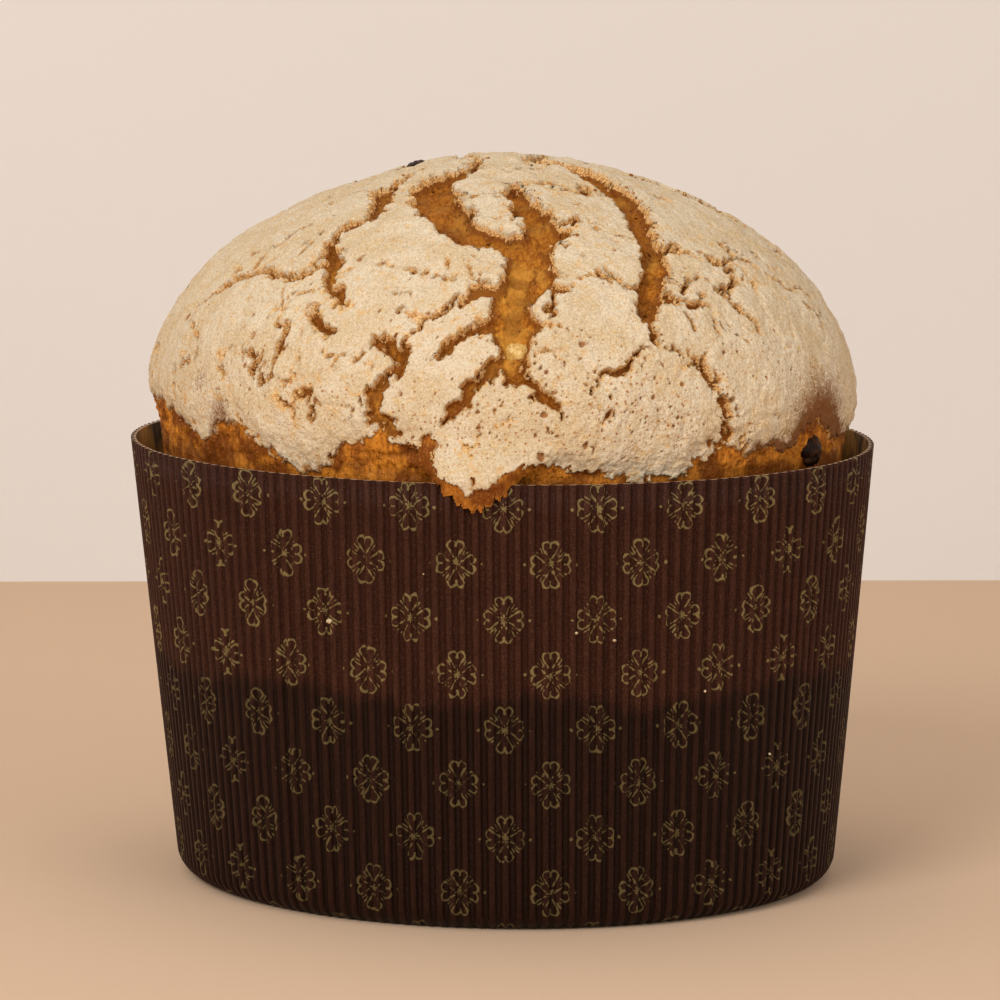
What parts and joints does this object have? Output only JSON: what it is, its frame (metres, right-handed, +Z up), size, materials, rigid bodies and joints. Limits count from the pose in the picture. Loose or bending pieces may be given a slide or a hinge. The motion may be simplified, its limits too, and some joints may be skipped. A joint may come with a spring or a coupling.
{
  "type": "panettone in a paper case",
  "caption": "Tall domed sweet loaf with a cracked pale glaze, standing in a fluted brown paper baking case.",
  "frame": {"origin": "centre of the case's flat underside, on the surface it stands on", "axes": "+Z up through the crown, -Y towards the front with the crust tongue over the rim, +X to the right seen from the front"},
  "size_m": [0.188, 0.1913, 0.1824],
  "materials": {
    "brown_case_paper": "dark brown fluted baking paper with an olive-gold flower print, soft satin",
    "glazed_crust": "matte sugar-and-almond glaze over golden-brown crust and open yellow crumb (food)",
    "raisin_skin": "wrinkled, slightly glossy baked raisin (food)",
    "candied_peel_flesh": "translucent, sticky candied citrus peel (food)"
  },
  "bodies": {
    "root": {"paper_case": "brown_case_paper", "loaf": "glazed_crust", "side_raisin": "raisin_skin", "crown_raisin": "raisin_skin", "candied_peel": "candied_peel_flesh"}
  },
  "joints": []
}
